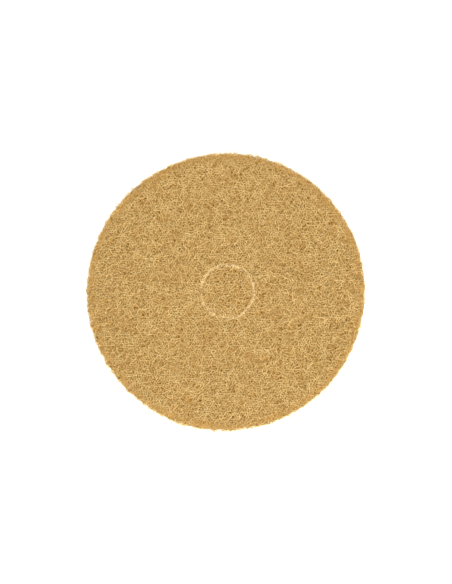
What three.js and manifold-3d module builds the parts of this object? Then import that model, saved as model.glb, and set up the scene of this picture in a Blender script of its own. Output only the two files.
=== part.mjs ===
// A floor polishing pad, 17 inches across: one disc, die-cut from a lofty nonwoven batt of tan nylon fibre.
// The usual 3 1/4 inch knock-out at its centre is cut round but still in place, held by three uncut nicks.
// Millimetres, +Z up, the origin at the middle of the face that the pad lies on.
import * as THREE from "three";
import { mergeVertices } from "three/addons/utils/BufferGeometryUtils.js";
import Module from "manifold-3d";

// The disc
const padDiameter = 431.8;
const padThickness = 25;

// The rim, where the die pressed the web down before it cut through
const shoulderWidth = 13;
const shoulderDrop = 3.2;
const rimRaggedness = 0.6; // how far cut tufts stand in or out of the rim's circle
const rimOvality = 0.65; // how far the limp disc is pulled out of round
const ovalDirection = 38; // the direction that it is pulled in, in degrees from +X

// The knock-out at the centre
const knockoutDiameter = 82.55;
const knockoutOffsetX = 2.3; // the punch landed a little off the middle of the disc
const knockoutOffsetY = 0.8;
const kerfWidth = 0.6; // the slit that the punch leaves right through the web
const lipWidth = 1.5; // how far the crushed lips of the slit flare at a face, on each side of it
const lipDepth = 1.6;
const nickWidth = 6; // the uncut bridges that hold the knock-out, deep in the slit below its lips
const nickDirections = [32, 182, 257];

// The open faces of the batt: level tufts, with pits of several depths between them
const tuftSpacing = 9.8;
const tuftScatter = 2; // how far a tuft or pit sits from its even place
const pitDepth = 2.8;
const shallowestPit = 0.8;
const pitShare = 0.55; // the share of places that are pits, and not level tufts

// How finely round shapes are divided
const rimSectors = 120;
const rimLevels = 1;
const shoulderSteps = 2;
const slitSectors = 48;
const cutterMargin = 1; // how far a cutter runs past what it cuts
const spareTufts = 2; // rows of tufts that the uncut batt has beyond the disc, all round it
const mergeDistance = 1e-4;

const tan = 0xc59f61;
const padRadius = padDiameter / 2;
const slitRadius = knockoutDiameter / 2;

const wasm = await Module();
wasm.setup();

// A closed geometry as a solid that can be joined and cut
function solidFrom(geometry) {
  const bare = geometry.clone();
  bare.deleteAttribute("normal");
  bare.deleteAttribute("uv");
  const merged = mergeVertices(bare, mergeDistance);
  return new wasm.Manifold(
    new wasm.Mesh({
      numProp: 3,
      vertProperties: new Float32Array(merged.attributes.position.array),
      triVerts: new Uint32Array(merged.index.array),
    }),
  );
}

function geometryFrom(solid) {
  const { vertProperties, triVerts } = solid.getMesh();
  const geometry = new THREE.BufferGeometry();
  geometry.setAttribute("position", new THREE.BufferAttribute(vertProperties, 3));
  geometry.setIndex(new THREE.BufferAttribute(triVerts, 1));
  geometry.computeVertexNormals();
  return geometry;
}

// Moves each point of a geometry to where place(x, y, z) says
function reshape(geometry, place) {
  const { position } = geometry.attributes;
  for (let i = 0; i < position.count; i += 1) {
    position.setXYZ(i, ...place(position.getX(i), position.getY(i), position.getZ(i)));
  }
  return geometry;
}

// A closed profile of [radius, height] points, turned about +Z
function revolve(points, sectors) {
  const profile = points.map(([radius, height]) => new THREE.Vector2(radius, height));
  return new THREE.LatheGeometry(profile, sectors).rotateX(Math.PI / 2);
}

// One random number from 0 to 1 for each whole place of a grid: the same series gives the same numbers
function draw(series, column, row) {
  const wave = Math.sin(column * 127.1 + row * 311.7 + series * 74.7) * 43758.5453;
  return wave - Math.floor(wave);
}

// The series of draws. The batt's two faces take them with opposite signs
const pitSeries = 1;
const strayXSeries = 2;
const strayYSeries = 3;
const rimSeries = 4;

// How far the web lies below its face at one place of the grid: nothing at a level tuft
function pitAt(face, column, row) {
  const drawn = draw(face * pitSeries, column, row);
  if (drawn > pitShare) return 0;
  return shallowestPit + (pitDepth - shallowestPit) * (drawn / pitShare);
}

// The batt before it is cut: a square slab with tufts and pits on both of its faces
function batt() {
  const cells = 2 * (Math.ceil(padRadius / tuftSpacing) + spareTufts);
  const side = cells * tuftSpacing;
  const slab = new THREE.BoxGeometry(side, side, padThickness, cells, cells, 1);
  return reshape(slab, (x, y, z) => {
    const face = Math.sign(z);
    const column = Math.round(x / tuftSpacing);
    const row = Math.round(y / tuftSpacing);
    return [
      x + tuftScatter * (2 * draw(face * strayXSeries, column, row) - 1),
      y + tuftScatter * (2 * draw(face * strayYSeries, column, row) - 1),
      padThickness / 2 + face * (padThickness / 2 - pitAt(face, column, row)),
    ];
  });
}

// The shoulder's points from the rim inwards, as [radius, how far above the face]: a quarter of an ellipse,
// whose last chord runs on through the face, so that the batt's level tufts are cut cleanly where it ends
function shoulderPoints() {
  const inner = padRadius - shoulderWidth;
  const arc = new THREE.EllipseCurve(inner, -shoulderDrop, shoulderWidth, shoulderDrop, 0, Math.PI / 2);
  const points = arc.getPoints(shoulderSteps).map(({ x, y }) => [x, y]);
  const [beforeLast, last] = points.slice(-2);
  return [...points.slice(0, -1), [2 * last[0] - beforeLast[0], 2 * last[1] - beforeLast[1]]];
}

// How far one point of the rim stands out of its circle
function rimBulge(angle, level) {
  const sector = Math.round((angle / (2 * Math.PI)) * rimSectors + rimSectors) % rimSectors;
  const tuft = rimRaggedness * (2 * draw(rimSeries, sector, level) - 1);
  const oval = rimOvality * Math.cos(2 * (angle - THREE.MathUtils.degToRad(ovalDirection)));
  return tuft + oval;
}

// What the die keeps of the batt: soft shoulders, and a ragged wall between them
function dieOutline() {
  const top = shoulderPoints().map(([radius, rise]) => [radius, padThickness + rise]);
  const underside = shoulderPoints().map(([radius, rise]) => [radius, -rise]).reverse();
  const wallHeight = padThickness - 2 * shoulderDrop;
  const wall = [];
  for (let level = 1; level <= rimLevels; level += 1) {
    wall.push([padRadius, shoulderDrop + (wallHeight * level) / (rimLevels + 1)]);
  }
  const axisEnds = [-cutterMargin, padThickness + cutterMargin].map((height) => [0, height]);
  const profile = [axisEnds[0], ...underside, ...wall, ...top, axisEnds[1]];
  return reshape(revolve(profile, rimSectors), (x, y, z) => {
    const radius = Math.hypot(x, y);
    if (radius < padRadius - shoulderWidth) return [x, y, z];
    const level = Math.round((z - shoulderDrop) / (wallHeight / (rimLevels + 1)));
    const grown = 1 + rimBulge(Math.atan2(y, x), level) / radius;
    return [x * grown, y * grown, z];
  });
}

// The uncut bridges across the slit, which leave its lips open above and below them
function nicks() {
  const height = padThickness - 2 * lipDepth;
  const length = kerfWidth + 2 * cutterMargin;
  return nickDirections.map((direction) => {
    const nick = new THREE.BoxGeometry(length, nickWidth, height);
    nick.translate(slitRadius, 0, padThickness / 2);
    return solidFrom(nick.rotateZ(THREE.MathUtils.degToRad(direction)));
  });
}

// What the punch takes out: a slit right through the web that flares at both faces, but for its nicks
function punchedSlit() {
  const inner = slitRadius - kerfWidth / 2;
  const outer = slitRadius + kerfWidth / 2;
  const flare = lipWidth * (1 + cutterMargin / lipDepth);
  const section = [
    [inner - flare, -cutterMargin],
    [outer + flare, -cutterMargin],
    [outer, lipDepth],
    [outer, padThickness - lipDepth],
    [outer + flare, padThickness + cutterMargin],
    [inner - flare, padThickness + cutterMargin],
    [inner, padThickness - lipDepth],
    [inner, lipDepth],
    [inner - flare, -cutterMargin],
  ];
  const ring = solidFrom(revolve(section, slitSectors));
  return nicks().reduce((slit, nick) => slit.subtract(nick), ring);
}

const disc = solidFrom(batt()).intersect(solidFrom(dieOutline()));
const slit = punchedSlit().translate(knockoutOffsetX, knockoutOffsetY, 0);
const web = geometryFrom(disc.subtract(slit));
const nylon = new THREE.MeshStandardMaterial({ color: tan, roughness: 0.85, metalness: 0 });

const floorPad = new THREE.Mesh(web, nylon);
floorPad.name = "floor_pad";

const part = new THREE.Group();
part.add(floorPad);

export default part;
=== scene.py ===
# A round tan floor polishing pad of open nonwoven fibre web, lying on its face and seen from straight above.
# The pad's solid gives the form. Here it becomes the dark depth of the web, its darkness partly painted
# shade,
# and crimped fibres cover it: layers of them on both faces and round the cut wall, and pale cut ends at the
# rim and round the knock-out.
import math

import bmesh
import bpy
import numpy as np
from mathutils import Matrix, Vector, noise
from mathutils.bvhtree import BVHTree
from mathutils.geometry import delaunay_2d_cdt


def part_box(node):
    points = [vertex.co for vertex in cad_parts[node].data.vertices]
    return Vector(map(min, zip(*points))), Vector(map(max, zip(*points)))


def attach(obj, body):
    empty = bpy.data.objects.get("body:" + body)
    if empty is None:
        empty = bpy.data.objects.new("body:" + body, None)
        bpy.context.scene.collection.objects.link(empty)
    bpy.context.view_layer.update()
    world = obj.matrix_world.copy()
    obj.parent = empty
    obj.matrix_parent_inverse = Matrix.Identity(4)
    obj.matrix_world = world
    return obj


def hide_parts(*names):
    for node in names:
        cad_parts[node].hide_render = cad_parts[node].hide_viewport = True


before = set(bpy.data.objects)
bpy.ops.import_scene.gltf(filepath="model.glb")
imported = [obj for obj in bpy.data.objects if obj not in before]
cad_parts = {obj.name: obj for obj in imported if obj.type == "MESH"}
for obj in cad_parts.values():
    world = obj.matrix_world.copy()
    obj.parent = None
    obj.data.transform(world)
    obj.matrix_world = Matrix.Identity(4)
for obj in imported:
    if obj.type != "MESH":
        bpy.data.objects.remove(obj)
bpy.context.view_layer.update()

mm = 0.001

# The pad, as the frame has it
pad_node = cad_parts["floor_pad"]
pad_low, pad_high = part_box("floor_pad")
pad_thickness = pad_high.z - pad_low.z
pad_radius = (pad_high.x - pad_low.x + pad_high.y - pad_low.y) / 4

# The pressed shoulder inside the rim, as wide and as high as the CAD part's
shoulder_width = 13 * mm
shoulder_height = 3.2 * mm
press_reach = 1.25  # how far in from the rim the web is pressed at all, in shoulder widths

# The slit round the knock-out. Its line is faint at the uncut nicks
slit_centre = np.array([2.3, 0.8]) * mm
slit_radius = 41.275 * mm
kerf = 0.6 * mm
slit_lip = 1.8 * mm  # how far the lips are crushed on each side
lip_sink = 0.9 * mm
lip_waves = [(3, 0.4), (7, 2.1), (13, 4.0), (22, 1.3)]  # how often each goes round the slit, and its phase
lip_wave_height = 0.33 * mm
nick_directions = np.radians([32, 182, 257])
nick_spread = math.radians(11)
nick_loss = 0.6  # the share of the line's strength that is lost at a nick
line_unevenness = 0.2
slit_paleness = 0.5
slit_pale_width = 1.6 * mm

# The cut edge, which is most frayed at the lower left of the photograph
edge_seed, edge_places = 8, 450
edge_raggedness = 0.8 * mm
largest_draw = 1.6
usual_fray, added_fray = 0.85, 0.5
most_frayed = math.radians(245)
frayed_spread = math.radians(60)
usual_patch, patch_spread = 0.4, 0.55
rim_paleness, wall_paleness = 0.9, 0.5
rim_pale_width = 3.2 * mm

# The fibres
tube_sides = 3
fibre_radius = 0.36 * mm
thickness_range = (0.8, 1.2)  # of one fibre's radius, as a share of the usual one
fibre_step = 2.4 * mm  # the length of one straight piece of a fibre
shortest_run = 3  # points. What a cut leaves of a fibre is dropped when it has fewer
crimp_swing = (0.375, 0.975)  # how far a crimp turns a fibre off its way, in radians
crimp_length = (9 * mm, 15 * mm)
tightest_curl = 11 * mm
own_tone_spread, point_tone_spread = 0.08, 0.1
painted_dip_shade = 0.12  # how much darker a fibre is where it dips under others: painted shade

# The faces' fibres, and the pores that they wind between
pore_spacing = 3.9 * mm
pore_scatter = 0.38  # how far a pore lies from its even place, as a share of the spacing
winding_steps = 15
winding_batches = 12
whim = 0.4  # how far chance sways a fibre's choice of its next gap
crowding = 0.6  # how far each fibre that goes through a gap speaks against it
persistence = 0.5  # how much of its heading a fibre keeps in a step
fibre_shift, point_shift = 0.3 * mm, 0.2 * mm
pressed_disorder = 2
weave_height = 0.45 * mm  # how far a fibre dips under and over its neighbours
weave_phases = (0, 7)
relief_followed = (0.05, 0.3)  # how far a fibre goes down into the face's pits, as a share of their depth
gap_at_slit = 0.3 * mm  # how near to the slit's middle a fibre comes before it is cut
inset_at_rim = 0.4 * mm

# The wall's fibres
wall_steps = 10
wall_heading_spread = 0.8
shoulder_inset = 4 * mm
gap_at_face = 0.8 * mm

# Cut ends, all of them
end_bend = 0.35
end_tone, end_tone_spread = 0.75, 0.12
end_thickness_range = (0.7, 1.0)
end_paleness = np.array([0.1, 0.5, 0.9, 1.0])  # from the root to the tip
end_clearance = 0.4 * mm  # how far the ends' middles may go above the top face, and stay above the floor

# Cut ends at the rim, which stand in tufts
tufts = 280
tuft_spread = 0.7 * mm
tuft_length_range = (0.4, 1.6)
tuft_paleness_range = (0.5, 1.7)
fringe_lengths = (2.6 * mm, 4.8 * mm)
longest_fringe = (4.5 * mm, 6 * mm)
fringe_root_depth = 1.8 * mm
fringe_lean, fringe_disorder = 0.5, 0.5

# Cut ends along the slit: on its lips, and down in it
lip_end_places = (0.2 * mm, 2.8 * mm)
lip_end_depths = (0.6 * mm, 1.6 * mm)
lip_end_lengths = (1.4 * mm, 3.0 * mm)
lip_end_sway, lip_end_rise = 0.7, 0.2
slit_end_place = 0.7 * mm
slit_end_heights = (0.1, 0.9)  # as a share of the pad's thickness
slit_end_lengths = (1.4 * mm, 1.9 * mm)
slit_end_sway = 0.4
lean_over_slit = 0.7
slit_end_paleness = (0.35, 0.95)

# The core
core_edge = 6.5 * mm  # the longest edge that is left undivided
core_rounds = 6
core_depth = 2.4 * mm
core_roughness = 0.6 * mm
core_grain = 4.5 * mm
deeper_at_wall = 0.3
shallower_where_pressed = 0.5
core_relief = 0.25  # the share of the face's relief that the core keeps
core_slit_width = 3 * mm
core_slit_closing = 0.85
core_paleness = 0.45

# The photograph's frame, in pixels, and where the pad lies in it
frame_width, frame_height = 452, 584
pad_pixels = 278.9
pad_centre_pixels = (225.87, 292.06)
camera_distance = 1.8
outline_depth = 3 * mm  # how far below the top face the widest outline lies

# Colours, as the eye sees them
fibre_tones = [(0.0, "#8c6427"), (0.35, "#d1ac64"), (0.7, "#e7c57e"), (1.0, "#f1d99c")]
# The depth's tones are darker than the fibres': partly the deeper fibres' own colour, partly painted shade.
depth_and_shade_tones = [(0.0, "#6a460e"), (0.45, "#966c2c"), (1.0, "#cfa867")]
pale_end = "#f9e1b0"
pressed_tone = "#be934c"

# The materials. Scales are in cells or waves for each metre
# Painted shade: dark specks where the web is open and light is lost in its depth.
pore_shade_scale, pore_shade_contrast, pore_shade_offset = 165.0, 5.0, -0.55
drift_scale, drift_contrast = 700.0, 2.6
grain_scale = 2600.0
bend_scale, bend_reach = 150.0, 3 * mm  # how the strands of the depth are bent
strand_scales, strand_sharpness = (230.0, 410.0, 760.0), 6.0
depth_drift_scale, depth_lift = 500.0, 0.4
pressed_fibre, pressed_depth = 0.5, 0.55  # how far pressing takes each to the pressed tone

# The floor and the light
floor_side = 3.0
floor_gap = 0.2 * mm
floor_glow = 0.55
surrounding_light = 0.7
softbox_size = 1.4


# The pad's surface, as numbers that the fibres follow

solid = BVHTree.FromPolygons(
    [v.co.copy() for v in pad_node.data.vertices],
    [tuple(p.vertices) for p in pad_node.data.polygons],
)
map_step = 2 * mm
map_margin = 1.03
probe_height = 10 * mm  # how far above the face its rays start
probe_reach = 1.2  # how far out the rim's rays start, in radii of the pad
rim_clearance, slit_clearance = 0.8 * mm, 2 * slit_lip  # how near to an edge a face is measured
rim_angles = np.radians(np.arange(0, 360, 2))


def measured_rim():
    """The wall's radius in each of rim_angles, at the middle of the pad's thickness."""
    middle = Vector((0, 0, pad_low.z + pad_thickness / 2))
    radii = []
    for angle in rim_angles:
        outwards = Vector((math.cos(angle), math.sin(angle), 0))
        start = outwards * pad_radius * probe_reach + middle
        radii.append(solid.ray_cast(start, -outwards)[0].xy.length)
    return np.array(radii)


rim_radii = measured_rim()


def rim_at(angle):
    return np.interp(angle, rim_angles, rim_radii, period=2 * math.pi)


def face_level(side):
    """The height of the level tufts of one face. side is 1 for the top and -1 for the underside."""
    return pad_high.z if side > 0 else pad_low.z


def clear_of_edges(point):
    """The point, moved off the rim and the slit to the nearest place where the face is whole."""
    out = np.hypot(*point)
    most = rim_at(math.atan2(point[1], point[0])) - rim_clearance
    if out > most:
        point = point * (most / out)
    arm = point - slit_centre
    gap = np.hypot(*arm) - slit_radius
    if abs(gap) < slit_clearance:
        clear = slit_radius + math.copysign(slit_clearance, gap)
        point = slit_centre + arm * clear / np.hypot(*arm)
    return point


def face_heights(side):
    """The heights of one face on a square grid, and how many steps the grid goes from its middle."""
    half = math.ceil(pad_radius * map_margin / map_step)
    heights = np.empty((2 * half + 1, 2 * half + 1))
    for row, column in np.ndindex(heights.shape):
        x, y = clear_of_edges(np.array([column - half, row - half]) * map_step)
        start = Vector((x, y, face_level(side) + side * probe_height))
        heights[row, column] = solid.ray_cast(start, Vector((0, 0, -side)))[0].z
    return heights, half


face_maps = {side: face_heights(side) for side in (1, -1)}


def face_at(side, x, y):
    """The height of that face at each x, y, smoothly between the grid's points."""
    heights, half = face_maps[side]
    u = np.clip(x / map_step + half, 0, 2 * half - 0.001)
    v = np.clip(y / map_step + half, 0, 2 * half - 0.001)
    i, j = u.astype(int), v.astype(int)
    fu, fv = u - i, v - j
    lower = heights[j, i] * (1 - fu) + heights[j, i + 1] * fu
    upper = heights[j + 1, i] * (1 - fu) + heights[j + 1, i + 1] * fu
    return lower * (1 - fv) + upper * fv


# Where the web is pressed, cut, frayed and pale

def bell(off, width):
    """1 where off is 0, and almost 0 from twice the width on."""
    return np.exp(-((off / width) ** 2))


def turn(angle, direction):
    """The turn from the direction to each angle, the short way round."""
    return np.angle(np.exp(1j * (angle - direction)))


def pressed(x, y):
    """How much the die has pressed the web at each x, y: 0 on the open face and 1 at the rim."""
    inwards = rim_at(np.arctan2(y, x)) - np.hypot(x, y)
    share = np.clip(press_reach - inwards / shoulder_width, 0, 1)
    return share * share * (3 - 2 * share)


def slit_distance(x, y):
    """How far each point lies outside the middle of the slit."""
    return np.hypot(x - slit_centre[0], y - slit_centre[1]) - slit_radius


def slit_direction(x, y):
    return np.arctan2(y - slit_centre[1], x - slit_centre[0])


def lip_wander(x, y):
    """How far the crushed lips lean out of the slit's circle in each direction from its centre."""
    direction = slit_direction(x, y)
    return lip_wave_height * sum(np.sin(times * direction + phase) for times, phase in lip_waves)


def cut_strength(x, y):
    """How clearly the cut line shows in each direction from the knock-out's centre: faint at the nicks."""
    direction = slit_direction(x, y)
    strength = np.ones_like(direction)
    for nick in nick_directions:
        strength -= nick_loss * bell(turn(direction, nick), nick_spread)
    waver = np.sin(2 * direction + 1.2) * np.sin(5 * direction)
    return strength * (1 - line_unevenness + line_unevenness * waver)


def pale_at_slit(x, y):
    """How pale each point is, from 0 to 1, for lying beside the cut line."""
    off = slit_distance(x, y) - lip_wander(x, y)
    return slit_paleness * cut_strength(x, y) * bell(off, slit_pale_width)


patch_draws, ragged_draws = np.random.default_rng(edge_seed).normal(0, 1, (2, edge_places))


def round_edge(angle, draws):
    """The draw for each direction, smoothly between the directions that have one."""
    return np.interp(angle, 2 * math.pi * np.arange(len(draws)) / len(draws), draws, period=2 * math.pi)


def rim_patches(angle):
    """How pale the cut edge is in each direction, from 0 to 1: in patches a few fibres long."""
    return np.clip(usual_patch + patch_spread * round_edge(angle, patch_draws), 0, 1)


def fray(angle):
    """How much the cut edge is frayed in each direction, where 1 is usual."""
    return usual_fray + added_fray * bell(turn(angle, most_frayed), frayed_spread)


def raggedness(angle):
    """How far the cut edge's fibres stand out in each direction."""
    draws = np.clip(round_edge(angle, ragged_draws), -largest_draw, largest_draw)
    return edge_raggedness * fray(angle) * draws


def pale_at_rim(x, y):
    """How pale each point is, from 0 to 1, for lying beside the pad's cut edge."""
    angle = np.arctan2(y, x)
    inwards = rim_at(angle) - np.hypot(x, y)
    return rim_paleness * rim_patches(angle) * bell(inwards, rim_pale_width)


# The paths of fibres

def crimped_paths(rng, starts, headings, steps):
    """Flat paths of crimped fibres from their starts, as (fibres, steps + 1, 2)."""
    count = len(starts)
    along = (np.arange(steps) + 0.5) * fibre_step
    swing = rng.uniform(*crimp_swing, (count, 1))
    length = rng.uniform(*crimp_length, (count, 1))
    phase = rng.uniform(0, 2 * math.pi, (count, 1))
    curl = rng.uniform(-1, 1, (count, 1)) / tightest_curl
    heading = headings[:, None] + swing * np.sin(2 * math.pi * along / length + phase) + curl * along
    moves = fibre_step * np.stack([np.cos(heading), np.sin(heading)], -1)
    paths = np.concatenate([np.zeros((count, 1, 2)), np.cumsum(moves, 1)], 1)
    return starts[:, None, :] + paths


def pore_net(rng):
    """Pores all over the pad, loosely even, and the gaps between neighbouring pores that fibres go through.

    Each three pores make a triangle with three gaps. Gives the middle of each gap, the gap at each triangle's
    side, and the side of the next triangle that each side meets.
    """
    reach = math.ceil(2 * pad_radius / pore_spacing)
    margin = 3 * pore_spacing
    column, row = np.meshgrid(np.arange(-reach, reach + 1), np.arange(-reach, reach + 1))
    pores = pore_spacing * np.stack([column + row / 2, row * math.sqrt(3) / 2], -1).reshape(-1, 2)
    pores = pores[np.hypot(*pores.T) < pad_radius + margin]
    pores += pore_spacing * pore_scatter * rng.uniform(-1, 1, pores.shape)
    corners, _, triangles, *_ = delaunay_2d_cdt([Vector(p) for p in pores], [], [], 0, 1e-7)
    corners = np.array([c[:] for c in corners])
    triangles = np.array(triangles)
    ends = np.sort(np.stack([triangles, np.roll(triangles, -1, 1)], -1).reshape(-1, 2), 1)
    gaps, gap_at = np.unique(ends, axis=0, return_inverse=True)
    gap_at = gap_at.ravel()
    order = np.argsort(gap_at, kind="stable")
    shared = gap_at[order[1:]] == gap_at[order[:-1]]
    beyond = np.arange(len(gap_at))
    beyond[order[:-1][shared]] = order[1:][shared]
    beyond[order[1:][shared]] = order[:-1][shared]
    return corners[gaps].mean(1), gap_at, beyond


def winding_paths(rng, net, count):
    """Paths of fibres that wind between the pores, as (fibres, points, 2). They start in batches where the
    web is thinnest, and prefer gaps that few others go through, so that the fibres lie evenly."""
    middles, gap_at, _ = net
    worn = np.zeros(len(middles))
    batches = []
    for share in np.array_split(np.arange(count), winding_batches):
        free = rng.permutation(len(gap_at))
        free = free[np.argsort(worn[gap_at[free]], kind="stable")]
        batches.append(walk(rng, net, worn, free[: len(share)]))
    return np.concatenate(batches)


def walk(rng, net, worn, side):
    """Paths that start at these sides of triangles and cross one triangle in each step."""
    middles, gap_at, beyond = net
    count = len(side)
    heading = rng.normal(0, 1, (count, 2))
    path = [middles[gap_at[side]]]
    for _ in range(winding_steps):
        exits = side // 3 * 3 + (side % 3 + np.array([[1], [2]])) % 3
        moves = middles[gap_at[exits]] - path[-1]
        moves /= np.linalg.norm(moves, axis=-1, keepdims=True)
        score = (moves * heading).sum(-1) + rng.normal(0, whim, exits.shape) - crowding * worn[gap_at[exits]]
        best = np.argmax(score, 0), np.arange(count)
        np.add.at(worn, gap_at[exits[best]], 1)
        heading = persistence * heading + moves[best]
        heading /= np.linalg.norm(heading, axis=-1, keepdims=True)
        path.append(middles[gap_at[exits[best]]])
        side = beyond[exits[best]]
    return np.stack(path, 1)


def longest_runs(zones):
    """For each path, the first point and the number of points of its longest run in one zone. 0 is none."""
    count, points = zones.shape
    first, best_first, best = (np.zeros(count, int) for _ in range(3))
    for i in range(1, points + 1):
        done = np.ones(count, bool) if i == points else zones[:, i] != zones[:, i - 1]
        length = np.where(zones[:, i - 1] > 0, i - first, 0)
        better = done & (length > best)
        best_first[better] = first[better]
        best[better] = length[better]
        first[done] = i
    return best_first, best


# Meshes of many fibres

class Fibres:
    """Gathers fibres, each a thin closed tube, and makes one mesh of them."""

    def __init__(self):
        self.groups = []

    def add(self, radii, *rings):
        """Fibres of these radii. rings are (fibres, rings, ...): places, ups, tones, paleness, pressing."""
        if len(radii):
            self.groups.append((radii, *rings))

    def add_runs(self, zones, radii, *rings):
        """The same, but only the longest run of each fibre in one zone, if that is long enough."""
        first, counts = longest_runs(zones)
        for count in range(shortest_run, zones.shape[1] + 1):
            these = np.nonzero(counts == count)[0][:, None]
            kept = first[these] + np.arange(count)
            self.add(radii[these[:, 0]], *(ring[these, kept] for ring in rings))

    def build(self, name, material):
        fibres = sum(len(group[0]) for group in self.groups)
        cells = math.ceil(math.sqrt(fibres))
        places, faces, tints, maps = [], [], [], []
        first_vertex = first_fibre = 0
        for radii, points, ups, *tint in self.groups:
            count, rings = points.shape[:2]
            places.append(tube_points(points, ups, radii))
            faces.append(tube_faces(count, rings) + first_vertex)
            tints.append(tube_tints(*tint))
            maps.append(tube_map(np.arange(first_fibre, first_fibre + count), rings, cells))
            first_vertex += count * tube_vertices(rings)
            first_fibre += count
        return mesh_object(name, material, *(np.concatenate(a) for a in (places, faces, tints, maps)))


def tube_vertices(rings):
    """How many vertices a tube has: the corners of its rings, and its two tips."""
    return tube_sides * rings + 2


def tube_points(points, ups, radii):
    """The corners round each point of each fibre, then its two tips."""
    along = np.gradient(points, axis=1)
    along /= np.linalg.norm(along, axis=-1, keepdims=True)
    side = np.cross(ups, along)
    side /= np.linalg.norm(side, axis=-1, keepdims=True)
    over = np.cross(along, side)
    angles = 2 * math.pi * np.arange(tube_sides) / tube_sides + math.pi / 2
    spokes = side[:, :, None] * np.cos(angles)[:, None] + over[:, :, None] * np.sin(angles)[:, None]
    corners = points[:, :, None] + radii[:, None, None, None] * spokes
    start = points[:, 0] - along[:, 0] * radii[:, None]
    end = points[:, -1] + along[:, -1] * radii[:, None]
    tips = np.stack([start, end], 1)
    return np.concatenate([corners.reshape(len(points), -1, 3), tips], 1).reshape(-1, 3)


def tube_faces(count, rings):
    """The triangles of that many tubes, facing out."""
    one = []
    for ring, corner in np.ndindex(rings - 1, tube_sides):
        a = tube_sides * ring + corner
        b = tube_sides * ring + (corner + 1) % tube_sides
        one += [(a, b, b + tube_sides), (a, b + tube_sides, a + tube_sides)]
    last = tube_sides * (rings - 1)
    start, end = tube_sides * rings, tube_sides * rings + 1
    for corner in range(tube_sides):
        following = (corner + 1) % tube_sides
        one += [(start, following, corner), (end, last + corner, last + following)]
    firsts = tube_vertices(rings) * np.arange(count)
    return (np.array(one)[None] + firsts[:, None, None]).reshape(-1, 3)


def tube_tints(*values):
    """Each corner's tone, paleness and pressing, in the red, green and blue of a colour."""
    corners = [np.concatenate([np.repeat(v, tube_sides, 1), v[:, :1], v[:, -1:]], 1) for v in values]
    return np.stack([*corners, np.ones_like(corners[0])], -1).reshape(-1, 4)


def tube_map(fibres, rings, cells):
    """Where each triangle's corners lie on a flat map, which has one cell for each fibre."""
    inset = 0.08
    room = 1 - 2 * inset
    across = inset + room * np.arange(tube_sides + 1) / tube_sides
    along = inset + room * np.arange(-1, rings + 1) / rings + room / rings / 2
    along = np.clip(along, inset, 1 - inset)
    one = []
    for ring, corner in np.ndindex(rings - 1, tube_sides):
        low, high = along[ring + 1], along[ring + 2]
        left, right = across[corner], across[corner + 1]
        one += [(low, left), (low, right), (high, right), (low, left), (high, right), (high, left)]
    for corner in range(tube_sides):
        left, right = across[corner], across[corner + 1]
        middle = (left + right) / 2
        one += [(along[0], middle), (along[1], right), (along[1], left)]
        one += [(along[-1], middle), (along[-2], left), (along[-2], right)]
    corners = np.stack([fibres % cells, fibres // cells], -1)
    return ((np.array(one)[None] + corners[:, None]) / cells).reshape(-1, 2)


def linked(name, data):
    """A new object of the scene that holds this data."""
    made = bpy.data.objects.new(name, data)
    bpy.context.scene.collection.objects.link(made)
    return made


def set_tints(mesh, tints):
    tint = mesh.color_attributes.new(name="tint", type="FLOAT_COLOR", domain="POINT")
    tint.data.foreach_set("color", tints.astype(np.float32).ravel())


def mesh_object(name, material, places, faces, tints, maps):
    """An object of these triangles, with a tint at each vertex and its own map."""
    mesh = bpy.data.meshes.new(name)
    mesh.vertices.add(len(places))
    mesh.vertices.foreach_set("co", places.astype(np.float32).ravel())
    mesh.loops.add(faces.size)
    mesh.loops.foreach_set("vertex_index", faces.astype(np.int32).ravel())
    mesh.polygons.add(len(faces))
    mesh.polygons.foreach_set("loop_start", np.arange(0, faces.size, 3, dtype=np.int32))
    mesh.update(calc_edges=True)
    mesh.polygons.foreach_set("use_smooth", np.ones(len(faces), bool))
    set_tints(mesh, tints)
    mesh.uv_layers.new(name="OFBake").data.foreach_set("uv", maps.astype(np.float32).ravel())
    mesh.materials.append(material)
    return linked(name, mesh)


# The layers of fibres

def varied_tones(rng, lightness, shape):
    """Tones about this lightness: each fibre has one of its own, which varies along it."""
    own = rng.normal(0, own_tone_spread, (shape[0], 1))
    return np.clip(lightness + own + rng.normal(0, point_tone_spread, shape), 0, 1)


def face_fibres(name, material, rng, side, paths, depths, lightness):
    """Fibres that lie in one face, between two depths below it, and are cut off at the rim and the slit."""
    count, points = paths.shape[:2]
    x, y = paths[..., 0], paths[..., 1]
    angle = np.arctan2(y, x)
    gap = slit_distance(x, y)
    zones = np.where(gap > 0, 1, 2)
    zones[abs(gap) < gap_at_slit] = 0
    zones[np.hypot(x, y) > rim_at(angle) + raggedness(angle) - inset_at_rim] = 0
    press = pressed(x, y)
    depth = rng.uniform(*depths, (count, 1))
    follow = rng.uniform(*relief_followed, (count, 1))
    follow = follow + (1 - follow) * press
    level = face_level(side)
    surface = level + follow * (face_at(side, x, y) - level)
    along = np.arange(points) * fibre_step
    length = rng.uniform(*crimp_length, (count, 1))
    dip = np.sin(2 * math.pi * along / length + rng.uniform(*weave_phases, (count, 1)))
    below = np.maximum(depth + weave_height * dip, fibre_radius) + lip_sink * bell(gap, slit_lip)
    places = np.stack([x, y, surface - side * below], -1)
    ups = np.broadcast_to(np.array([0.0, 0.0, 1.0]), places.shape)
    # Painted shade: each fibre's tone is darker where it dips under others.
    tones = varied_tones(rng, lightness - painted_dip_shade * dip, x.shape)
    radii = fibre_radius * rng.uniform(*thickness_range, count)
    pale = np.maximum(pale_at_slit(x, y), pale_at_rim(x, y))
    fibres = Fibres()
    fibres.add_runs(zones, radii, places, ups, tones, pale, press)
    return fibres.build(name, material)


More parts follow.
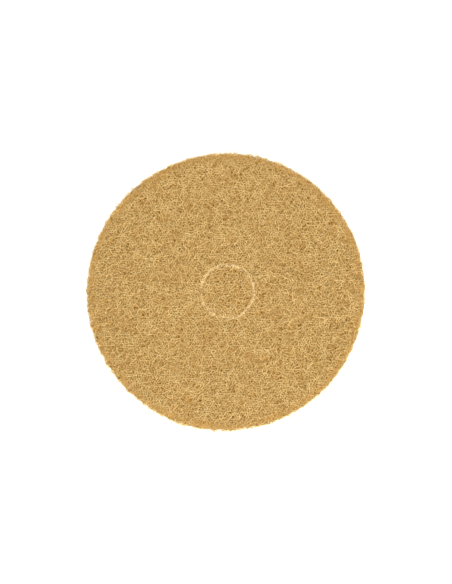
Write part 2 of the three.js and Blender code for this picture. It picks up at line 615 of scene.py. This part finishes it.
def winding_fibres(name, material, seed, side, net, count, depths, lightness):
    """Fibres of one face that leave its pores open."""
    rng = np.random.default_rng(seed)
    paths = winding_paths(rng, net, count)
    disorder = 1 + pressed_disorder * pressed(paths[..., 0], paths[..., 1])[..., None]
    paths += rng.normal(0, fibre_shift, (count, 1, 2)) + rng.normal(0, point_shift, paths.shape) * disorder
    paths[:, 1:-1] = paths[:, 1:-1] / 2 + (paths[:, :-2] + paths[:, 2:]) / 4
    return face_fibres(name, material, rng, side, paths, depths, lightness)


def wall_fibres(name, material, seed, count, depths, lightness):
    """Fibres that run along the cut wall between two depths in it, round the pad and up and down."""
    rng = np.random.default_rng(seed)
    round_pad = rng.uniform(0, 2 * math.pi * pad_radius, count)
    starts = np.stack([round_pad, rng.uniform(0, 1, count) * pad_thickness], -1)
    headings = rng.choice([0, math.pi], count) + rng.normal(0, wall_heading_spread, count)
    paths = crimped_paths(rng, starts, headings, wall_steps)
    angle, height = paths[..., 0] / pad_radius, paths[..., 1]
    near_face = np.minimum(height, pad_thickness - height)
    shoulder = np.clip(1 - near_face / shoulder_height, 0, 1)
    depth = rng.uniform(*depths, (count, 1)) + shoulder_inset * shoulder**2
    out = rim_at(angle) + raggedness(angle) - depth
    places = np.stack([out * np.cos(angle), out * np.sin(angle), pad_low.z + height], -1)
    ups = np.stack([np.cos(angle), np.sin(angle), np.zeros_like(angle)], -1)
    tones = varied_tones(rng, lightness, angle.shape)
    radii = fibre_radius * rng.uniform(*thickness_range, count)
    zones = (near_face > gap_at_face).astype(int)
    unpressed = np.zeros_like(angle)
    fibres = Fibres()
    fibres.add_runs(zones, radii, places, ups, tones, wall_paleness * rim_patches(angle), unpressed)
    return fibres.build(name, material)


def unit(vectors):
    return vectors / np.linalg.norm(vectors, axis=1, keepdims=True)


def cut_ends(rng, roots, outwards, lengths, pale):
    """Short cut ends that stand out from their roots, each bent a little. Gives what Fibres.add takes."""
    count, rings = len(roots), len(end_paleness)
    bend = rng.normal(0, end_bend, (count, 3)) * lengths[:, None]
    share = np.linspace(0, 1, rings)[None, :, None]
    points = roots[:, None] + outwards[:, None] * lengths[:, None, None] * share + bend[:, None] * share**2
    points[..., 2] = np.clip(points[..., 2], pad_low.z + end_clearance, pad_high.z + end_clearance)
    ups = np.broadcast_to(np.cross(outwards, rng.normal(0, 1, (count, 3)))[:, None], points.shape)
    tones = np.clip(rng.normal(end_tone, end_tone_spread, (count, rings)), 0, 1)
    radii = fibre_radius * rng.uniform(*end_thickness_range, count)
    pales = np.clip(pale[:, None] * end_paleness, 0, 1)
    return radii, points, ups, tones, pales, np.zeros_like(pales)


def rim_roots(angle, climb):
    """Where cut ends leave the rim in these directions, and which way they point. climb is how steeply up."""
    middle = Vector((0, 0, (pad_low.z + pad_high.z) / 2))
    roots, outwards = np.zeros((2, len(angle), 3))
    for i in range(len(angle)):
        away = Vector((math.cos(angle[i]), math.sin(angle[i]), 0))
        ray = (away + Vector((0, 0, climb[i]))).normalized()
        hit, normal, *_ = solid.ray_cast(away * (pad_radius - shoulder_width) + middle, ray)
        roots[i] = hit - fringe_root_depth * ray
        outwards[i] = (fringe_lean * ray + normal).normalized()
    return roots, outwards


def rim_fringe(name, material, seed, count):
    """Cut fibre ends that stand out of the shoulders and the wall in tufts, paler than the web."""
    rng = np.random.default_rng(seed)
    tuft = rng.integers(0, tufts, count)
    tuft_angle = (tuft + rng.uniform(0, 1, tufts)[tuft]) * 2 * math.pi / tufts
    angle = tuft_angle + rng.normal(0, tuft_spread, count) / pad_radius
    climb = rng.choice([-1, 1], count) * np.sqrt(rng.uniform(0, 1, count))
    roots, outwards = rim_roots(angle, climb)
    outwards = unit(outwards + rng.normal(0, fringe_disorder, (count, 3)))
    lengths = rng.uniform(*fringe_lengths, count) * rng.uniform(*tuft_length_range, tufts)[tuft] * fray(angle)
    lengths = np.minimum(lengths, rng.uniform(*longest_fringe, count))
    fibres = Fibres()
    fibres.add(*cut_ends(rng, roots, outwards, lengths, rng.uniform(*tuft_paleness_range, tufts)[tuft]))
    return fibres.build(name, material)


def slit_ends(name, material, seed, counts):
    """Cut fibre ends along both lips of the slit: so many on the top, on the underside and down in the slit.
    They lean over it, and show as a pale line."""
    rng = np.random.default_rng(seed)
    fibres = Fibres()
    for side, count in zip((1, -1, 0), counts):
        angle = rng.uniform(0, 2 * math.pi, count)
        out_of_knockout = np.stack([np.cos(angle), np.sin(angle), np.zeros(count)], -1)
        around = np.stack([-np.sin(angle), np.cos(angle), np.zeros(count)], -1)
        lip = rng.choice([-1, 1], count)
        out = slit_radius + lip * (rng.uniform(*lip_end_places, count) if side else slit_end_place)
        roots = np.array([*slit_centre, 0]) + out_of_knockout * out[:, None]
        if side:
            roots[:, 2] = face_at(side, *roots[:, :2].T) - side * rng.uniform(*lip_end_depths, count)
            lean = rng.normal(0, lip_end_sway, (count, 1)) * around + np.array([0, 0, lip_end_rise * side])
        else:
            roots[:, 2] = pad_low.z + rng.uniform(*slit_end_heights, count) * pad_thickness
            lean = rng.normal(0, slit_end_sway, (count, 3))
        outwards = unit(lean - lean_over_slit * lip[:, None] * out_of_knockout)
        shown = rng.uniform(0, 1, count) < cut_strength(*roots[:, :2].T)
        lengths = rng.uniform(*(lip_end_lengths if side else slit_end_lengths), count)
        parts = cut_ends(rng, roots, outwards, lengths, rng.uniform(*slit_end_paleness, count))
        fibres.add(*(part[shown] for part in parts))
    return fibres.build(name, material)


# The depth of the web, below its fibres

def core_tints(mesh, levels):
    """Each vertex's paleness beside the cut line and its pressing, in the green and blue of its tint.

    levels says how level the surface is at each vertex, as the wall isn't pressed.
    """
    places = np.empty(3 * len(mesh.vertices))
    mesh.vertices.foreach_get("co", places)
    x, y, _ = places.reshape(-1, 3).T
    tints = np.zeros((len(x), 4))
    tints[:, 1] = core_paleness * pale_at_slit(x, y)
    tints[:, 2] = pressed(x, y) * levels
    tints[:, 3] = 1
    return tints


def sunk(place, normal):
    """Where a point of the pad's surface goes in the core: under the fibres, with its relief flattened."""
    gap = float(slit_distance(place.x, place.y))
    if abs(gap) < kerf:
        arm = place.xy - Vector(slit_centre)
        return place - (arm.normalized() * gap * core_slit_closing).to_3d()
    level = abs(normal.z)
    press = float(pressed(place.x, place.y)) * level
    off_slit = min(abs(gap) / core_slit_width, 1)
    depth = core_depth * (1 + deeper_at_wall * (1 - level))
    depth += core_roughness * noise.noise(place / core_grain)
    moved = place - normal * off_slit * (1 - shallower_where_pressed * press) * depth
    if level > 0.5:
        relief = face_level(normal.z) - place.z
        moved.z += relief * off_slit * (1 - core_relief) * (1 - press)
    return moved


def web_core(name, material):
    """The pad's own solid, divided finely and sunk below the fibres."""
    mesh = bmesh.new()
    mesh.from_mesh(pad_node.data)
    bmesh.ops.remove_doubles(mesh, verts=mesh.verts, dist=1e-6)
    for _ in range(core_rounds):
        long = [e for e in mesh.edges if e.calc_length() > core_edge]
        if not long:
            break
        bmesh.ops.subdivide_edges(mesh, edges=long, cuts=1)
        bmesh.ops.triangulate(mesh, faces=[f for f in mesh.faces if len(f.verts) > 3])
    mesh.normal_update()
    data = bpy.data.meshes.new(name)
    mesh.to_mesh(data)
    set_tints(data, core_tints(data, [abs(v.normal.z) for v in mesh.verts]))
    for vertex, place in zip(data.vertices, [sunk(v.co, v.normal) for v in mesh.verts]):
        vertex.co = place
    mesh.free()
    data.shade_smooth()
    data.materials.append(material)
    return linked(name, data)


# Materials

class Shading:
    """The nodes of one shader, and short ways to add those that are used here."""

    def __init__(self, tree):
        self.nodes, self.links = tree.nodes, tree.links

    def feed(self, socket, value):
        """Links the socket to another node's output, or sets it to a plain value."""
        if isinstance(value, bpy.types.NodeSocket):
            self.links.new(value, socket)
        else:
            socket.default_value = value

    def node(self, kind, **inputs):
        made = self.nodes.new("ShaderNode" + kind)
        for name, value in inputs.items():
            self.feed(made.inputs[name], value)
        return made

    def place(self):
        return self.node("TexCoord").outputs["Object"]

    def noise(self, place, scale, output="Fac"):
        return self.node("TexNoise", Vector=place, Scale=scale).outputs[output]

    def maths(self, operation, *values, clamp=False):
        made = self.node("Math")
        made.operation = operation
        made.use_clamp = clamp
        for socket, value in zip(made.inputs, values):
            self.feed(socket, value)
        return made.outputs["Value"]

    def ramp(self, factor, stops):
        """The colour at this factor between the stops, which are (position, #rrggbb)."""
        made = self.node("ValToRGB", Fac=factor)
        elements = made.color_ramp.elements
        while len(elements) < len(stops):
            elements.new(0.5)
        for element, (position, code) in zip(elements, stops):
            element.position = position
            element.color = linear(code)
        return made.outputs["Color"]

    def mixed(self, factor, first, second):
        """The first colour, mixed with the second, which is written as #rrggbb."""
        made = self.node("Mix")
        made.data_type = "RGBA"
        self.feed(made.inputs["Factor"], factor)
        self.feed(made.inputs["A"], first)
        self.feed(made.inputs["B"], linear(second))
        return made.outputs["Result"]

    def bump(self, height, strength, distance):
        return self.node("Bump", Height=height, Strength=strength, Distance=distance).outputs["Normal"]

    def tint_parts(self):
        """The tone, paleness and pressing that each vertex holds."""
        tint = self.node("Attribute")
        tint.attribute_name = "tint"
        parts = self.node("SeparateColor", Color=tint.outputs["Color"])
        return [parts.outputs[name] for name in ("Red", "Green", "Blue")]

    def seen(self):
        """1 for rays that the picture is made of, and 0 for those that only light the pad."""
        rays = self.node("LightPath").outputs
        seen = self.maths("ADD", rays["Is Camera Ray"], rays["Is Glossy Ray"], clamp=True)
        return self.maths("ADD", seen, rays["Is Transmission Ray"], clamp=True)


def linear(code):
    """A colour written as #rrggbb, as the linear numbers that shaders take."""
    parts = [int(code[i : i + 2], 16) / 255 for i in (1, 3, 5)]
    return [p / 12.92 if p <= 0.04045 else ((p + 0.055) / 1.055) ** 2.4 for p in parts] + [1.0]


def new_material(name):
    material = bpy.data.materials.new(name)
    material.use_nodes = True
    tree = material.node_tree
    return material, Shading(tree), tree.nodes["Principled BSDF"].inputs


def with_pore_shade(shading, place, tone):
    """The tone, but dark in small specks, where the web is open and the light is lost in it: painted shade.
    """
    cells = shading.node("TexVoronoi", Vector=place, Scale=pore_shade_scale)
    off_pore_shade = cells.outputs["Distance"]
    clear = shading.maths("MULTIPLY_ADD", off_pore_shade, pore_shade_contrast, pore_shade_offset, clamp=True)
    return shading.maths("MULTIPLY", tone, clear)


def web_colour(shading, place, tone, tones, press, pale):
    """The web's colour for a tone, with painted shade in small specks, towards one flat tone where it is
    pressed, and pale where it is cut.
    """
    colour = shading.ramp(with_pore_shade(shading, place, tone), tones)
    colour = shading.mixed(press, colour, pressed_tone)
    return shading.mixed(pale, colour, pale_end)


def fibre_material():
    """Resin-coated nylon: each fibre has a tone of its own, which drifts along it, and pale cut ends."""
    material, shading, surface = new_material("tan_nylon_fibre")
    own_tone, pale, press = shading.tint_parts()
    place = shading.place()
    drift = shading.noise(place, drift_scale)
    drift = shading.maths("MULTIPLY_ADD", drift, drift_contrast, -drift_contrast / 2)
    tone = shading.maths("ADD", own_tone, drift, clamp=True)
    press = shading.maths("MULTIPLY", press, pressed_fibre)
    shading.feed(surface["Base Color"], web_colour(shading, place, tone, fibre_tones, press, pale))
    surface["Roughness"].default_value = 0.62
    surface["Specular IOR Level"].default_value = 0.35
    grain = shading.noise(place, grain_scale)
    shading.feed(surface["Normal"], shading.bump(grain, strength=0.25, distance=0.05 * mm))
    return material


def depth_material():
    """The web's depth: a network of finer fibres, light along its strands and dark with painted shade in the
    gaps between. Its tones are darker than the fibres', partly their own colour and partly painted shade.
    """
    material, shading, surface = new_material("deep_fibre_web")
    _, pale, press = shading.tint_parts()
    place = shading.place()
    warp = shading.node("VectorMath")
    warp.operation = "MULTIPLY_ADD"
    bend = shading.noise(place, bend_scale, "Color")
    for socket, value in zip(warp.inputs, (bend, [bend_reach] * 3, place)):
        shading.feed(socket, value)
    strands = None
    for scale in strand_scales:
        cells = shading.node("TexVoronoi", Vector=warp.outputs["Vector"], Scale=scale)
        cells.feature = "DISTANCE_TO_EDGE"
        off_strand = shading.maths("MULTIPLY", cells.outputs["Distance"], strand_sharpness, clamp=True)
        strand = shading.maths("SUBTRACT", 1.0, off_strand)
        strands = strand if strands is None else shading.maths("MAXIMUM", strands, strand)
    drift = shading.maths("ADD", shading.noise(place, depth_drift_scale), depth_lift)
    tone = shading.maths("MULTIPLY", strands, drift, clamp=True)
    press = shading.maths("MULTIPLY", press, pressed_depth)
    shading.feed(surface["Base Color"], web_colour(shading, place, tone, depth_and_shade_tones, press, pale))
    surface["Roughness"].default_value = 0.8
    surface["Specular IOR Level"].default_value = 0.2
    shading.feed(surface["Normal"], shading.bump(strands, strength=0.8, distance=0.8 * mm))
    return material


# The floor, the light and the camera

def white_floor():
    """A white floor that keeps the pad's soft shadow."""
    mesh = bpy.data.meshes.new("floor")
    corners = [(x * floor_side, y * floor_side, 0) for x, y in ((-1, -1), (1, -1), (1, 1), (-1, 1))]
    mesh.from_pydata(corners, [], [(0, 1, 2, 3)])
    floor = linked("floor", mesh)
    floor.location.z = pad_low.z - floor_gap
    material, shading, surface = new_material("white_floor")
    surface["Base Color"].default_value = (0.8, 0.8, 0.8, 1)
    surface["Roughness"].default_value = 0.9
    surface["Specular IOR Level"].default_value = 0.0
    surface["Emission Color"].default_value = (1, 1, 1, 1)
    shading.feed(surface["Emission Strength"], shading.maths("MULTIPLY", shading.seen(), floor_glow))
    mesh.materials.append(material)


def white_world():
    """A plain pale surrounding light, which the camera sees as white."""
    world = bpy.data.worlds.new("studio")
    world.use_nodes = True
    shading = Shading(world.node_tree)
    background = world.node_tree.nodes["Background"].inputs
    background["Color"].default_value = (1, 1, 1, 1)
    strength = shading.maths("MULTIPLY_ADD", shading.seen(), 1 - surrounding_light, surrounding_light)
    shading.feed(background["Strength"], strength)
    bpy.context.scene.world = world


def softbox(name, place, power):
    """A square soft lamp that faces the pad."""
    light = bpy.data.lights.new(name, "AREA")
    light.shape = "SQUARE"
    light.size = softbox_size
    light.energy = power
    lamp = linked(name, light)
    lamp.location = place
    lamp.rotation_euler = (-Vector(place)).to_track_quat("-Z", "Y").to_euler()


def camera_above():
    """Looks straight down, with the pad's outline at the photograph's size and place."""
    data = bpy.data.cameras.new("camera")
    camera = linked("camera", data)
    pixels_per_metre = pad_pixels / (2 * pad_radius)
    data.sensor_fit = "HORIZONTAL"
    data.sensor_width = 36
    data.lens = data.sensor_width * camera_distance * pixels_per_metre / frame_width
    across = (frame_width / 2 - pad_centre_pixels[0]) / pixels_per_metre
    up = (pad_centre_pixels[1] - frame_height / 2) / pixels_per_metre
    camera.location = (across, up, pad_high.z - outline_depth + camera_distance)
    bpy.context.scene.camera = camera


def build():
    """The pad's pieces: its core, and on it the layers of fibres, each with its seed, count and depths."""
    fibre = fibre_material()
    core = web_core("web_core", depth_material())
    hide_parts("floor_pad")
    net, deep_net = (pore_net(np.random.default_rng(seed)) for seed in (5, 6))
    pieces = [
        core,
        # Each layer's last number is its lightness: the deeper layers of the top and of the wall are darker,
        # which is painted shade.
        winding_fibres("top_fibres_1", fibre, 11, 1, net, 2100, (0.2 * mm, 0.8 * mm), 0.75),
        winding_fibres("top_fibres_2", fibre, 12, 1, net, 2100, (0.6 * mm, 1.3 * mm), 0.6),
        winding_fibres("top_fibres_3", fibre, 13, 1, deep_net, 2300, (1.3 * mm, 2.3 * mm), 0.45),
        winding_fibres("under_fibres", fibre, 21, -1, net, 1350, (0.2 * mm, 1.2 * mm), 0.7),
        wall_fibres("wall_fibres_1", fibre, 31, 1350, (0.1 * mm, 1.0 * mm), 0.75),
        wall_fibres("wall_fibres_2", fibre, 32, 1350, (0.9 * mm, 2.0 * mm), 0.5),
        rim_fringe("rim_cut_ends", fibre, 41, 4300),
        slit_ends("knockout_cut_ends", fibre, 51, (1200, 500, 400)),
    ]
    for piece in pieces:
        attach(piece, "root")


camera_above()
white_floor()
white_world()
softbox("overhead", (0.1, 0.4, 1.6), 16.4)
softbox("front", (0.5, -2.4, 1.35), 96.0)
bpy.context.scene.view_settings.view_transform = "Standard"
build()
